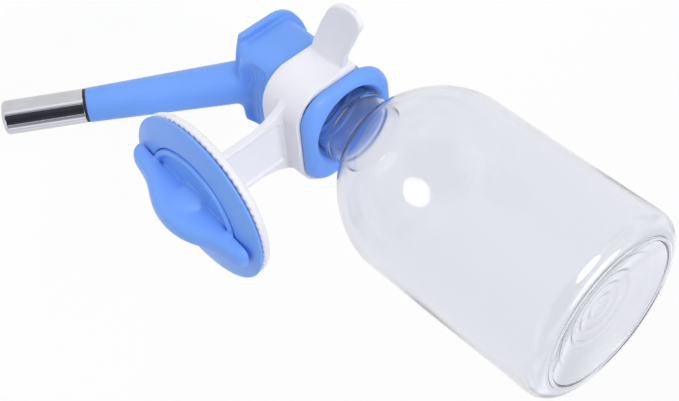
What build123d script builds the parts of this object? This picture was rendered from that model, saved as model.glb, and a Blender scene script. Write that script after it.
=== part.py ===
from build123d import *
import os
from math import cos, pi, radians, sin

# Small-animal water bottle that hangs upside down on a cage wall.
# Row frame, millimetres: the origin is the centre of the bracket's clamp face, where the
# cage wires lie. +Y runs from the cage to the bottle, +Z is up, and the bottle's base is up.

os.makedirs("parts", exist_ok=True)

# ---- driving dimensions -------------------------------------------------------------
RUNNING_GAP = 0.3              # between pieces that slide or turn on each other

# bottle
BOTTLE_AXIS_Y = 58.7           # bottle axis, from the clamp face
BOTTLE_RADIUS = 35.0
BOTTLE_WALL = 0.9
BASE_Z = 129.1                 # standing ring of the base, uppermost when it hangs
STANDING_RING_RADIUS = 28.7
STANDING_RING_WIDTH = 2.2
HEEL_HEIGHT = 6.5
SHOULDER_Z = 52.9              # where the cylinder ends and the shoulder starts
SHOULDER_HEIGHT = 31.4
SHOULDER_POWER = 1.71          # superellipse power of the shoulder's outline
SHOULDER_FOOT_RADIUS = 7.8     # radius that the shoulder's outline would close to
NECK_RADIUS = 13.7             # plain neck, and the crest of its thread
NECK_ROOT_RADIUS = 12.5
NECK_BORE_RADIUS = 10.8
NECK_LIP_Z = -12.0
NECK_THREAD_TOP_Z = 6.0

# the bottle's thread, shared by the neck and the socket
BOTTLE_LEAD = 3.18
NECK_THREAD_TURNS = 2.0
SOCKET_THREAD_TURNS = 1.25
NECK_THREAD_START_Z = -8.6
THREAD_BASE_WIDTH = 1.7
THREAD_CREST_WIDTH = 0.8

# head housing
HEAD_HALF_WIDTH = 18.7
HEAD_FRONT_Y = 40.9
HEAD_CREASE_Y = 47.4           # the flat side starts here
FLANGE_BOTTOM_Z = -34.0
FLANGE_THICKNESS = 3.0
FLANGE_HALF_WIDTH = 21.9
COLLAR_HALF_WIDTH = 20.2
COLLAR_BOTTOM_Z = 8.15
COLLAR_TOP_Z = 12.1
COLLAR_FRONT_CORNER_RADIUS = 11.0
COLLAR_BACK_CORNER_RADIUS = 17.0
SOCKET_RADIUS = NECK_RADIUS + RUNNING_GAP
SOCKET_MOUTH_RADIUS = 14.8
SOCKET_FLOOR_Z = -14.0
CHAMBER_RADIUS = 9.5           # water chamber below the socket floor
CHAMBER_BOTTOM_Z = -27.0

# spout: a straight tube that leans out under the clamp
SPOUT_ANGLE = 56.3             # between the spout and straight down, in the YZ plane
JOINT_Y = -1.3                 # where the plastic tube meets the steel sleeve
JOINT_Z = -64.3
TUBE_TIP_RADIUS = 6.3
TUBE_ROOT_RADIUS = 7.85
TUBE_LENGTH = 53.0             # tapered length in view, joint to head
TUBE_BURIED = 15.0             # how far the tube's root reaches into the head
TUBE_BORE_RADIUS = 3.2
SPIGOT_RADIUS = 5.5
SPIGOT_LENGTH = 11.0
SLEEVE_RADIUS = 6.24
SLEEVE_BORE_RADIUS = 5.65
SLEEVE_LENGTH = 29.4
SEAL_THICKNESS = 1.0           # rubber ring between tube and sleeve
BALL_RADIUS = 4.76             # 3/8 inch ball
LIP_RADIUS = 4.2

# bracket
CLAMP_RADIUS = 32.2
CLAMP_RIM_THICKNESS = 3.6
TOOTH_COUNT = 72
ARM_HALF_WIDTH = 10.7
ARM_TOP_Z = 0.7
ARM_BOTTOM_Z = -2.5
ARM_ROOT = (12.6, 6.0)          # edge of the arm where it leaves the flange
ARM_STRAIGHT_START_Y = 16.0
ARM_STRAIGHT_END_Y = 22.0
ARM_END = (18.5, 41.5)          # edge of the arm where it meets the clip
CLIP_FRONT_Y = 37.3
CLIP_HALF_WIDTH = 22.07
CLIP_BOTTOM_Z = -10.5
CLIP_TOP_Z = 7.85
CLIP_WALL = 3.15
CLIP_CORNER_RADIUS = 12.8
CLIP_INNER_CORNER_RADIUS = 7.0
CLIP_END_Y = 66.0
LATCH_ROOT_Y = 50.1            # where the free arm leaves the clip's corner
LATCH_END_SOFTENING = 1.2
LATCH_SLOT = 0.5               # gap that stands for the living hinge
TAB_Y = 60.3                   # front face of the finger tab
TAB_THICKNESS = 2.4
TAB_TIP_X = -51.9

# clamp
STUD_RADIUS = 3.1              # root of the stud's thread
STUD_CREST_RADIUS = 3.9
STUD_TIP_Y = -12.5
CLAMP_LEAD = 3.0
PLATE_RADIUS = 32.4
PLATE_BACK_Y = -0.35
PLATE_RIM_Y = -1.7
PLATE_STEP_Y = -3.4            # plate's front at the edge of its round recess
PLATE_FLOOR_Y = -1.75          # floor of that recess
RECESS_RADIUS = 21.3
WING_TILT = 12.0               # angle of the wing from straight up
WING_SOFTENING = 3.3
WING_END_Y = -7.3
WING_OUTLINE = ((9.5, -14.2), (18.0, -10.0), (24.0, -8.6))
WING_HALF_LENGTH = 29.2
WING_HALF_WIDTH = 5.0


def at_bottle(z):
    """Plane across the bottle axis at height z."""
    return Plane.XY.offset(z).move(Location((0, BOTTLE_AXIS_Y, 0)))


# plane through the bottle axis: local x is the radius, local y is height
BOTTLE_SECTION = Plane(origin=(0, BOTTLE_AXIS_Y, 0), x_dir=(1, 0, 0), z_dir=(0, -1, 0))
BOTTLE_AXIS = Axis((0, BOTTLE_AXIS_Y, 0), (0, 0, 1))

# spout frame: local z runs from the joint towards the tip, local x is the row's X
SPOUT_DIRECTION = (0, -sin(radians(SPOUT_ANGLE)), -cos(radians(SPOUT_ANGLE)))
SPOUT_PLANE = Plane(origin=(0, JOINT_Y, JOINT_Z), x_dir=(1, 0, 0), z_dir=SPOUT_DIRECTION)
SPOUT_AXIS = Axis((0, JOINT_Y, JOINT_Z), SPOUT_DIRECTION)
SPOUT_SECTION = Plane(
    origin=(0, JOINT_Y, JOINT_Z),
    x_dir=(1, 0, 0),
    z_dir=(0, -cos(radians(SPOUT_ANGLE)), sin(radians(SPOUT_ANGLE))),
)
# in SPOUT_SECTION local x is the radius and local y runs back towards the head

# clamp frame: planes across the Y axis, seen from the cage, with local y up
CLAMP_AXIS = Axis((0, 0, 0), (0, -1, 0))
CLAMP_SECTION = Plane(origin=(0, 0, 0), x_dir=(1, 0, 0), z_dir=(0, 0, 1))


def at_clamp(y):
    """Plane facing the cage at distance y from the clamp face."""
    return Plane(origin=(0, y, 0), x_dir=(1, 0, 0), z_dir=(0, -1, 0))


# ---- bottle -------------------------------------------------------------------------
def shoulder_points(inset, first, last, steps):
    """Shoulder outline, moved inwards by inset along its normal, as (radius, height)."""
    span = BOTTLE_RADIUS - SHOULDER_FOOT_RADIUS
    points = []
    for i in range(steps + 1):
        angle = radians(first + (last - first) * i / steps)
        c, s = cos(angle), sin(angle)
        nr = c ** (2 - 2 / SHOULDER_POWER) / span
        nz = s ** (2 - 2 / SHOULDER_POWER) / SHOULDER_HEIGHT
        length = (nr * nr + nz * nz) ** 0.5
        r = SHOULDER_FOOT_RADIUS + span * c ** (2 / SHOULDER_POWER) - inset * nr / length
        z = SHOULDER_Z - SHOULDER_HEIGHT * s ** (2 / SHOULDER_POWER) + inset * nz / length
        points.append((r, z))
    return points


SHOULDER_FIRST = 0.0           # sweep angles of the shoulder's outline
SHOULDER_LAST = 70.0
SHOULDER_STEPS = 10
BEAD_Z = 14.2                  # tamper-ring bead on the neck, just inside the collar
BEAD_RADIUS = 14.3
CAVITY_HEEL_RADIUS = 6.5

outer_shoulder = shoulder_points(0, SHOULDER_FIRST, SHOULDER_LAST, SHOULDER_STEPS)
inner_shoulder = shoulder_points(BOTTLE_WALL, SHOULDER_FIRST, SHOULDER_LAST, SHOULDER_STEPS)
neck_top_z = outer_shoulder[-1][1]
ring_inner = STANDING_RING_RADIUS - STANDING_RING_WIDTH

with BuildPart() as neck_thread:
    with BuildLine() as neck_helix:
        Helix(
            pitch=BOTTLE_LEAD,
            height=BOTTLE_LEAD * NECK_THREAD_TURNS,
            radius=NECK_ROOT_RADIUS,
            center=(0, BOTTLE_AXIS_Y, NECK_THREAD_START_Z),
        )
    with BuildSketch(
        Plane(
            origin=neck_helix.line @ 0,
            x_dir=(1, 0, 0),
            z_dir=neck_helix.line % 0,
        )
    ):
        with BuildLine():
            Polyline(
                (-0.4, -THREAD_BASE_WIDTH / 2),
                (NECK_RADIUS - NECK_ROOT_RADIUS, -THREAD_CREST_WIDTH / 2),
                (NECK_RADIUS - NECK_ROOT_RADIUS, THREAD_CREST_WIDTH / 2),
                (-0.4, THREAD_BASE_WIDTH / 2),
                close=True,
            )
        make_face()
    sweep(path=neck_helix.line, is_frenet=True)

with BuildPart() as bottle:
    with BuildSketch(BOTTLE_SECTION):
        with BuildLine():
            Spline(outer_shoulder, tangents=((0, -1), (-1, -0.42)))
            Polyline(
                outer_shoulder[-1],
                (NECK_RADIUS, neck_top_z - 0.6),
                (NECK_RADIUS, NECK_THREAD_TOP_Z),
                (NECK_ROOT_RADIUS, NECK_THREAD_TOP_Z - 1.2),
                (NECK_ROOT_RADIUS, NECK_LIP_Z),
                (NECK_BORE_RADIUS, NECK_LIP_Z),
                (NECK_BORE_RADIUS, neck_top_z - 1.0),
                inner_shoulder[-1],
            )
            Spline(list(reversed(inner_shoulder)), tangents=((1, 0.42), (0, 1)))
            Line(inner_shoulder[0], (BOTTLE_RADIUS - BOTTLE_WALL, BASE_Z - HEEL_HEIGHT))
            EllipticalCenterArc(
                center=(BOTTLE_RADIUS - BOTTLE_WALL - CAVITY_HEEL_RADIUS, BASE_Z - HEEL_HEIGHT),
                x_radius=CAVITY_HEEL_RADIUS,
                y_radius=HEEL_HEIGHT - BOTTLE_WALL,
                start_angle=0,
                arc_size=90,
            )
            Polyline(
                (BOTTLE_RADIUS - BOTTLE_WALL - CAVITY_HEEL_RADIUS, BASE_Z - BOTTLE_WALL),
                (ring_inner - 0.4, BASE_Z - BOTTLE_WALL),
                (ring_inner - 3.4, BASE_Z - 4.2),
                (14.0, BASE_Z - 4.9),
                (12.8, BASE_Z - 5.7),
                (0, BASE_Z - 6.2),
                (0, BASE_Z - 5.2),
                (13.2, BASE_Z - 4.7),
                (14.4, BASE_Z - 3.9),
                (ring_inner - 3.0, BASE_Z - 3.2),
                (ring_inner, BASE_Z),
                (STANDING_RING_RADIUS, BASE_Z),
            )
            EllipticalCenterArc(
                center=(STANDING_RING_RADIUS, BASE_Z - HEEL_HEIGHT),
                x_radius=BOTTLE_RADIUS - STANDING_RING_RADIUS,
                y_radius=HEEL_HEIGHT,
                start_angle=0,
                arc_size=90,
            )
            Line((BOTTLE_RADIUS, BASE_Z - HEEL_HEIGHT), outer_shoulder[0])
        make_face()
    revolve(axis=BOTTLE_AXIS)
    with BuildSketch(BOTTLE_SECTION):
        with BuildLine():
            Line((NECK_RADIUS - 0.3, BEAD_Z - 0.9), (NECK_RADIUS - 0.3, BEAD_Z + 0.9))
            ThreePointArc(
                (NECK_RADIUS - 0.3, BEAD_Z + 0.9),
                (BEAD_RADIUS, BEAD_Z),
                (NECK_RADIUS - 0.3, BEAD_Z - 0.9),
            )
        make_face()
    revolve(axis=BOTTLE_AXIS)
    add(neck_thread.part)

bottle.part.label = "bottle"
export_step(bottle.part, "parts/bottle.step")

# ---- bottle gasket: flat rubber ring on the socket's floor ----------------------------
GASKET_THICKNESS = NECK_LIP_Z - SOCKET_FLOOR_Z
GASKET_HOLE_RADIUS = 9.8

with BuildPart() as bottle_gasket:
    with BuildSketch(at_bottle(SOCKET_FLOOR_Z)):
        Circle(SOCKET_RADIUS - RUNNING_GAP)
        Circle(GASKET_HOLE_RADIUS, mode=Mode.SUBTRACT)
    extrude(amount=GASKET_THICKNESS)

bottle_gasket.part.label = "bottle_gasket"
export_step(bottle_gasket.part, "parts/bottle_gasket.step")

# ---- head housing: socket, water chamber and spout tube in one moulding ---------------
BODY_FRONT_HALF = 13.0         # half-width of the flat front between its slanted corners
BODY_CORNER = (15.9, 69.4)     # point on the rounded back corner
BODY_CORNER_START_Y = 64.1
BODY_BACK_Y = 74.4
FLANGE_CORNER = (20.2, 68.4)
FLANGE_CORNER_START_Y = 62.3
FLANGE_CORNER_END = (15.4, 72.9)
FLANGE_BACK_Y = 77.6
FLANGE_FRONT_Y = 43.4          # the flange's front edge bows out over the spout
FLANGE_BOW = HEAD_CREASE_Y - FLANGE_FRONT_Y
FLANGE_SOFTENING = 1.3
FLANGE_INNER_SOFTENING = 0.9
FRONT_SETBACK_START_Z = -29.0  # above this the front swells out from the flange's outline
FRONT_SETBACK_END_Z = -14.0
FRONT_SETBACK_TAPER = 15.0
COLLAR_SOFTENING = 3.6
POCKET_WIDTH = 32.0            # shallow pocket in the front, between flange and clip
POCKET_HEIGHT = 13.5
POCKET_Z = -20.2
POCKET_CORNER_RADIUS = 5.0
POCKET_FLOOR_Y = 45.2
POCKET_RIBS = 4
POCKET_RIB_PITCH = 2.6
POCKET_RIB_WIDTH = 0.9
POCKET_RIB_HEIGHT = 0.9

with BuildPart() as socket_thread:
    with BuildLine() as socket_helix:
        Helix(
            pitch=BOTTLE_LEAD,
            height=BOTTLE_LEAD * SOCKET_THREAD_TURNS,
            radius=SOCKET_RADIUS,
            center=(0, BOTTLE_AXIS_Y, NECK_THREAD_START_Z + BOTTLE_LEAD / 2),
        )
    with BuildSketch(
        Plane(
            origin=socket_helix.line @ 0,
            x_dir=(1, 0, 0),
            z_dir=socket_helix.line % 0,
        )
    ):
        with BuildLine():
            Polyline(
                (0.4, -0.7),
                (NECK_ROOT_RADIUS + RUNNING_GAP - SOCKET_RADIUS, -0.3),
                (NECK_ROOT_RADIUS + RUNNING_GAP - SOCKET_RADIUS, 0.3),
                (0.4, 0.7),
                close=True,
            )
        make_face()
    sweep(path=socket_helix.line, is_frenet=True)

with BuildPart() as collar:
    with BuildSketch(at_bottle(COLLAR_BOTTOM_Z)):
        Rectangle(2 * COLLAR_HALF_WIDTH, 2 * COLLAR_HALF_WIDTH)
        fillet(vertices().group_by(Axis.Y)[-1], radius=COLLAR_BACK_CORNER_RADIUS)
        fillet(vertices().group_by(Axis.Y)[0], radius=COLLAR_FRONT_CORNER_RADIUS)
    extrude(amount=COLLAR_TOP_Z - COLLAR_BOTTOM_Z)
    fillet(faces().sort_by(Axis.Z)[-1].edges(), radius=COLLAR_SOFTENING)

with BuildPart() as end_flange:
    with BuildSketch(Plane.XY.offset(FLANGE_BOTTOM_Z)):
        with BuildLine():
            ThreePointArc(
                (-FLANGE_HALF_WIDTH, HEAD_CREASE_Y),
                (0, FLANGE_FRONT_Y),
                (FLANGE_HALF_WIDTH, HEAD_CREASE_Y),
            )
            Line(
                (FLANGE_HALF_WIDTH, HEAD_CREASE_Y),
                (FLANGE_HALF_WIDTH, FLANGE_CORNER_START_Y),
            )
            ThreePointArc(
                (FLANGE_HALF_WIDTH, FLANGE_CORNER_START_Y), FLANGE_CORNER, FLANGE_CORNER_END
            )
            ThreePointArc(
                FLANGE_CORNER_END,
                (0, FLANGE_BACK_Y),
                (-FLANGE_CORNER_END[0], FLANGE_CORNER_END[1]),
            )
            ThreePointArc(
                (-FLANGE_CORNER_END[0], FLANGE_CORNER_END[1]),
                (-FLANGE_CORNER[0], FLANGE_CORNER[1]),
                (-FLANGE_HALF_WIDTH, FLANGE_CORNER_START_Y),
            )
            Line(
                (-FLANGE_HALF_WIDTH, FLANGE_CORNER_START_Y),
                (-FLANGE_HALF_WIDTH, HEAD_CREASE_Y),
            )
        make_face()
    extrude(amount=FLANGE_THICKNESS)
    fillet(faces().sort_by(Axis.Z)[0].edges(), radius=FLANGE_SOFTENING)
    fillet(faces().sort_by(Axis.Z)[-1].edges(), radius=FLANGE_INNER_SOFTENING)

with BuildPart() as head_housing:
    with BuildSketch(Plane.XY.offset(FLANGE_BOTTOM_Z + 1)):
        with BuildLine():
            Polyline(
                (BODY_CORNER[0] + 2.8, BODY_CORNER_START_Y),
                (HEAD_HALF_WIDTH, HEAD_CREASE_Y),
                (BODY_FRONT_HALF, HEAD_FRONT_Y),
                (0, HEAD_FRONT_Y),
            )
            ThreePointArc(
                (HEAD_HALF_WIDTH, BODY_CORNER_START_Y),
                (HEAD_HALF_WIDTH - 0.75, BODY_CORNER_START_Y + 3.1),
                BODY_CORNER,
            )
            ThreePointArc(BODY_CORNER, (8.2, 73.2), (0, BODY_BACK_Y))
            mirror(about=Plane.YZ)
        make_face()
    extrude(amount=COLLAR_BOTTOM_Z - FLANGE_BOTTOM_Z)

    # below the clip the front draws back until it is flush with the flange's bowed edge
    for start_z, height, angle in (
        (FLANGE_BOTTOM_Z, FRONT_SETBACK_START_Z - FLANGE_BOTTOM_Z, 0),
        (FRONT_SETBACK_START_Z, FRONT_SETBACK_END_Z - FRONT_SETBACK_START_Z, FRONT_SETBACK_TAPER),
    ):
        with BuildSketch(Plane.XY.offset(start_z)):
            with BuildLine():
                ThreePointArc(
                    (-2 * FLANGE_HALF_WIDTH, FLANGE_FRONT_Y + 4 * FLANGE_BOW),
                    (0, FLANGE_FRONT_Y),
                    (2 * FLANGE_HALF_WIDTH, FLANGE_FRONT_Y + 4 * FLANGE_BOW),
                )
                Polyline(
                    (2 * FLANGE_HALF_WIDTH, FLANGE_FRONT_Y + 4 * FLANGE_BOW),
                    (2 * FLANGE_HALF_WIDTH, 0),
                    (-2 * FLANGE_HALF_WIDTH, 0),
                    (-2 * FLANGE_HALF_WIDTH, FLANGE_FRONT_Y + 4 * FLANGE_BOW),
                )
            make_face()
        extrude(amount=height, taper=angle, mode=Mode.SUBTRACT)

    add(collar.part)
    add(end_flange.part)

    # shallow ribbed pocket in the front wall
    with BuildSketch(Plane.XZ.offset(-POCKET_FLOOR_Y)):
        with Locations((0, POCKET_Z)):
            RectangleRounded(POCKET_WIDTH, POCKET_HEIGHT, POCKET_CORNER_RADIUS)
    extrude(amount=POCKET_FLOOR_Y - HEAD_FRONT_Y + 1, mode=Mode.SUBTRACT)
    with BuildSketch(Plane.XZ.offset(-POCKET_FLOOR_Y - 0.5)):
        for i in range(POCKET_RIBS):
            with Locations((0, POCKET_Z + (i - (POCKET_RIBS - 1) / 2) * POCKET_RIB_PITCH)):
                Rectangle(POCKET_WIDTH - 8, POCKET_RIB_WIDTH)
    extrude(amount=POCKET_RIB_HEIGHT + 0.5)

    # tapered spout tube, from the joint back into the block
    taper = (TUBE_ROOT_RADIUS - TUBE_TIP_RADIUS) / TUBE_LENGTH
    with BuildSketch(SPOUT_SECTION):
        with BuildLine():
            Polyline(
                (0, -SPIGOT_LENGTH),
                (SPIGOT_RADIUS - 0.5, -SPIGOT_LENGTH),
                (SPIGOT_RADIUS, 0.5 - SPIGOT_LENGTH),
                (SPIGOT_RADIUS, 0),
                (TUBE_TIP_RADIUS, 0),
                (TUBE_ROOT_RADIUS + taper * TUBE_BURIED, TUBE_LENGTH + TUBE_BURIED),
                (0, TUBE_LENGTH + TUBE_BURIED),
                close=True,
            )
        make_face()
    revolve(axis=SPOUT_AXIS)

    # socket for the neck, gasket floor, water chamber
    with BuildSketch(at_bottle(COLLAR_TOP_Z)):
        Circle(SOCKET_RADIUS)
    extrude(amount=SOCKET_FLOOR_Z - COLLAR_TOP_Z, mode=Mode.SUBTRACT)
    with BuildSketch(BOTTLE_SECTION):
        with BuildLine():
            Polyline(
                (0, COLLAR_TOP_Z + 1),
                (SOCKET_MOUTH_RADIUS + 1.6, COLLAR_TOP_Z + 1),
                (SOCKET_MOUTH_RADIUS + 1.1, COLLAR_TOP_Z - 0.2),
                (SOCKET_MOUTH_RADIUS, COLLAR_TOP_Z - 1.6),
                (SOCKET_MOUTH_RADIUS, 0),
                (0, 0),
                close=True,
            )
        make_face()
    revolve(axis=BOTTLE_AXIS, mode=Mode.SUBTRACT)
    with BuildSketch(at_bottle(CHAMBER_BOTTOM_Z)):
        Circle(CHAMBER_RADIUS)
    extrude(amount=SOCKET_FLOOR_Z - CHAMBER_BOTTOM_Z, mode=Mode.SUBTRACT)
    with BuildSketch(SPOUT_PLANE.offset(SPIGOT_LENGTH + 1)):
        Circle(TUBE_BORE_RADIUS)
    extrude(amount=-(SPIGOT_LENGTH + 1 + TUBE_LENGTH + TUBE_BURIED + 3), mode=Mode.SUBTRACT)
    add(socket_thread.part)

head_housing.part.label = "head_housing"
export_step(head_housing.part, "parts/head_housing.step")

# ---- nozzle: rubber ring, steel sleeve, seat, ball, spring and its retainer ------------
# stations along the spout, measured from the joint towards the tip
SEAL_START = 0.05
LIP_START = SEAL_THICKNESS + SLEEVE_LENGTH - 1.6
SEAT_LENGTH = 1.5
SEAT_HOLE_RADIUS = 4.1
RETAINER_LENGTH = 1.6
RETAINER_HOLE_RADIUS = 2.6
WIRE_RADIUS = 0.3
SPRING_RADIUS = 3.1
SPRING_TURNS = 5
BALL_TO_SEAT = 1.35            # from the ball's centre to the seat's inner face
SPRING_TO_BALL = 4.2           # from the spring's last coil to the ball's centre
SEAT_CLEARANCE = 0.1

seat_end = LIP_START
seat_start = seat_end - SEAT_LENGTH
# the ball rests in the seat's cone, 0.16 mm clear of it
ball_station = seat_start - BALL_TO_SEAT
retainer_start = SPIGOT_LENGTH + SEAT_CLEARANCE
retainer_end = retainer_start + RETAINER_LENGTH
spring_start = retainer_end + WIRE_RADIUS
spring_end = ball_station - SPRING_TO_BALL

with BuildPart() as spout_o_ring:
    with BuildSketch(SPOUT_SECTION):
        with Locations((SPIGOT_RADIUS + 0.32, -SEAL_THICKNESS / 2)):
            RectangleRounded(0.62, SEAL_THICKNESS - 2 * SEAL_START, 0.25)
    revolve(axis=SPOUT_AXIS)

spout_o_ring.part.label = "spout_o_ring"
export_step(spout_o_ring.part, "parts/spout_o_ring.step")

sleeve_end = SEAL_THICKNESS + SLEEVE_LENGTH
with BuildPart() as nozzle_sleeve:
    with BuildSketch(SPOUT_SECTION):
        with BuildLine():
            Polyline(
                (LIP_RADIUS + 0.5, -sleeve_end),
                (LIP_RADIUS, -sleeve_end + 0.5),
                (LIP_RADIUS, -LIP_START),
                (SLEEVE_BORE_RADIUS, -LIP_START),
                (SLEEVE_BORE_RADIUS, -SEAL_THICKNESS),
                (SLEEVE_RADIUS - 0.15, -SEAL_THICKNESS),
                (SLEEVE_RADIUS, -SEAL_THICKNESS - 0.15),
                (SLEEVE_RADIUS, -sleeve_end + 1.5),
            )
            RadiusArc(
                (SLEEVE_RADIUS, -sleeve_end + 1.5),
                (LIP_RADIUS + 0.5, -sleeve_end),
                1.52,
            )
        make_face()
    revolve(axis=SPOUT_AXIS)

nozzle_sleeve.part.label = "nozzle_sleeve"
export_step(nozzle_sleeve.part, "parts/nozzle_sleeve.step")

with BuildPart() as valve_seat:
    with BuildSketch(SPOUT_SECTION):
        with BuildLine():
            Polyline(
                (SEAT_HOLE_RADIUS + 0.15, -seat_end),
                (SLEEVE_BORE_RADIUS, -seat_end),
                (SLEEVE_BORE_RADIUS, -seat_start),
                (SEAT_HOLE_RADIUS + 0.95, -seat_start),
                close=True,
            )
        make_face()
    revolve(axis=SPOUT_AXIS)

valve_seat.part.label = "valve_seat"
export_step(valve_seat.part, "parts/valve_seat.step")

with BuildPart() as nozzle_ball:
    with BuildSketch(SPOUT_SECTION):
        with BuildLine():
            CenterArc((0, -ball_station), BALL_RADIUS, -90, 180)
            Line((0, -ball_station + BALL_RADIUS), (0, -ball_station - BALL_RADIUS))
        make_face()
    revolve(axis=SPOUT_AXIS)

nozzle_ball.part.label = "nozzle_ball"
export_step(nozzle_ball.part, "parts/nozzle_ball.step")

with BuildPart() as spring_retainer:
    with BuildSketch(SPOUT_PLANE.offset(retainer_start)):
        Circle(SLEEVE_BORE_RADIUS)
        Circle(RETAINER_HOLE_RADIUS, mode=Mode.SUBTRACT)
    extrude(amount=RETAINER_LENGTH)

spring_retainer.part.label = "spring_retainer"
export_step(spring_retainer.part, "parts/spring_retainer.step")

with BuildPart() as ball_spring:
    with BuildLine() as coil:
        Helix(
            pitch=(spring_end - spring_start) / SPRING_TURNS,
            height=spring_end - spring_start,
            radius=SPRING_RADIUS,
            center=SPOUT_PLANE.offset(spring_start).origin,
            direction=SPOUT_DIRECTION,
        )
    with BuildSketch(Plane(origin=coil.line @ 0, z_dir=coil.line % 0)):
        Circle(WIRE_RADIUS)
    sweep(path=coil.line, is_frenet=True)

ball_spring.part.label = "ball_spring"
export_step(ball_spring.part, "parts/ball_spring.step")

# ---- bracket: clamp flange, arm and clip in one moulding ------------------------------
FLANGE_HUB_RADIUS = 12.0
FLANGE_HUB_Y = 9.0
CLIP_INNER_HALF = CLIP_HALF_WIDTH - CLIP_WALL
CLIP_INNER_FRONT_Y = CLIP_FRONT_Y + CLIP_WALL
PANEL_HALF_WIDTH = 8.9         # shallow panel sunk into the arm's upper and lower faces
PANEL_DEPTH = 0.8
PANEL_START_Y = 12.5
PANEL_END_Y = 36.0
TOOTH_DEPTH = 0.6
TOOTH_LENGTH = 3.0
TOOTH_GAP_SHARE = 0.4
STUD_POCKET_DEPTH = 6.0

with BuildPart() as bracket:
    # flange with a shallow cone behind it
    with BuildSketch(CLAMP_SECTION):
        with BuildLine():
            Polyline(
                (0, 0),
                (CLAMP_RADIUS - 0.3, 0),
                (CLAMP_RADIUS, 0.3),
                (CLAMP_RADIUS, CLAMP_RIM_THICKNESS - 1.5),
                (CLAMP_RADIUS - 0.5, CLAMP_RIM_THICKNESS - 0.5),
                (CLAMP_RADIUS - 1.5, CLAMP_RIM_THICKNESS),
            )
            ThreePointArc(
                (CLAMP_RADIUS - 1.5, CLAMP_RIM_THICKNESS),
                (19.5, 5.1),
                (FLANGE_HUB_RADIUS, FLANGE_HUB_Y),
            )
            Polyline((FLANGE_HUB_RADIUS, FLANGE_HUB_Y), (0, FLANGE_HUB_Y), (0, 0))
        make_face()
    revolve(axis=Axis((0, 0, 0), (0, 1, 0)))

    # arm, waisted in plan, with two side edges that flare into the clip
    with BuildSketch(Plane.XY.offset(ARM_BOTTOM_Z)):
        with BuildLine():
            ThreePointArc(ARM_ROOT, (11.3, 9.5), (ARM_HALF_WIDTH, ARM_STRAIGHT_START_Y))
            Line((ARM_HALF_WIDTH, ARM_STRAIGHT_START_Y), (ARM_HALF_WIDTH, ARM_STRAIGHT_END_Y))
            ThreePointArc((ARM_HALF_WIDTH, ARM_STRAIGHT_END_Y), (12.3, 32.4), ARM_END)
            Line(ARM_END, (0, ARM_END[1]))
            Line((0, ARM_END[1]), (0, ARM_ROOT[1]))
            Line((0, ARM_ROOT[1]), ARM_ROOT)
            mirror(about=Plane.YZ)
        make_face()
    extrude(amount=ARM_TOP_Z - ARM_BOTTOM_Z)

    # clip: a rounded C, open towards +Y
    with BuildSketch(Plane.XY.offset(CLIP_BOTTOM_Z)):
        with BuildLine():
            Polyline(
                (0, CLIP_FRONT_Y),
                (CLIP_HALF_WIDTH - CLIP_CORNER_RADIUS, CLIP_FRONT_Y),
            )
            RadiusArc(
                (CLIP_HALF_WIDTH - CLIP_CORNER_RADIUS, CLIP_FRONT_Y),
                (CLIP_HALF_WIDTH, CLIP_FRONT_Y + CLIP_CORNER_RADIUS),
                -CLIP_CORNER_RADIUS,
            )
            Polyline(
                (CLIP_HALF_WIDTH, CLIP_FRONT_Y + CLIP_CORNER_RADIUS),
                (CLIP_HALF_WIDTH, CLIP_END_Y),
                (CLIP_INNER_HALF, CLIP_END_Y),
                (CLIP_INNER_HALF, CLIP_INNER_FRONT_Y + CLIP_INNER_CORNER_RADIUS),
            )
            RadiusArc(
                (CLIP_INNER_HALF, CLIP_INNER_FRONT_Y + CLIP_INNER_CORNER_RADIUS),
                (CLIP_INNER_HALF - CLIP_INNER_CORNER_RADIUS, CLIP_INNER_FRONT_Y),
                CLIP_INNER_CORNER_RADIUS,
            )
            Line((CLIP_INNER_HALF - CLIP_INNER_CORNER_RADIUS, CLIP_INNER_FRONT_Y),
                 (0, CLIP_INNER_FRONT_Y))
            mirror(about=Plane.YZ)
        make_face()
    extrude(amount=CLIP_TOP_Z - CLIP_BOTTOM_Z)

    # clear the inside of the clip, and the -X arm, which is the latch
    with BuildSketch(Plane.XY.offset(CLIP_BOTTOM_Z)):
        with Locations((0, CLIP_INNER_FRONT_Y + 20)):
            RectangleRounded(2 * CLIP_INNER_HALF, 40, CLIP_INNER_CORNER_RADIUS)
    extrude(amount=CLIP_TOP_Z - CLIP_BOTTOM_Z, mode=Mode.SUBTRACT)
    with BuildSketch(Plane.XY.offset(CLIP_BOTTOM_Z - 1)):
        with Locations((-CLIP_HALF_WIDTH, (LATCH_ROOT_Y + CLIP_END_Y) / 2 + 1)):
            Rectangle(12, CLIP_END_Y - LATCH_ROOT_Y + 2)
    extrude(amount=CLIP_TOP_Z - CLIP_BOTTOM_Z + 2, mode=Mode.SUBTRACT)

    # shallow panels in the arm's two broad faces
    for z, depth in ((ARM_TOP_Z, -PANEL_DEPTH), (ARM_BOTTOM_Z, PANEL_DEPTH)):
        with BuildSketch(Plane.XY.offset(z)):
            with Locations((0, (PANEL_START_Y + PANEL_END_Y) / 2)):
                RectangleRounded(2 * PANEL_HALF_WIDTH, PANEL_END_Y - PANEL_START_Y, 1.5)
        extrude(amount=depth, mode=Mode.SUBTRACT)

    # pocket that holds the stud's head, and fine teeth round the clamp face
    with BuildSketch(at_clamp(0)):
        Circle(STUD_CREST_RADIUS)
    extrude(amount=-STUD_POCKET_DEPTH, mode=Mode.SUBTRACT)
    with BuildSketch(at_clamp(0)):
        with PolarLocations(CLAMP_RADIUS - TOOTH_LENGTH / 2, TOOTH_COUNT):
            Rectangle(TOOTH_LENGTH + 1, TOOTH_GAP_SHARE * 2 * pi * CLAMP_RADIUS / TOOTH_COUNT)
    extrude(amount=-TOOTH_DEPTH, mode=Mode.SUBTRACT)

bracket.part.label = "bracket"
export_step(bracket.part, "parts/bracket.step")

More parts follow.
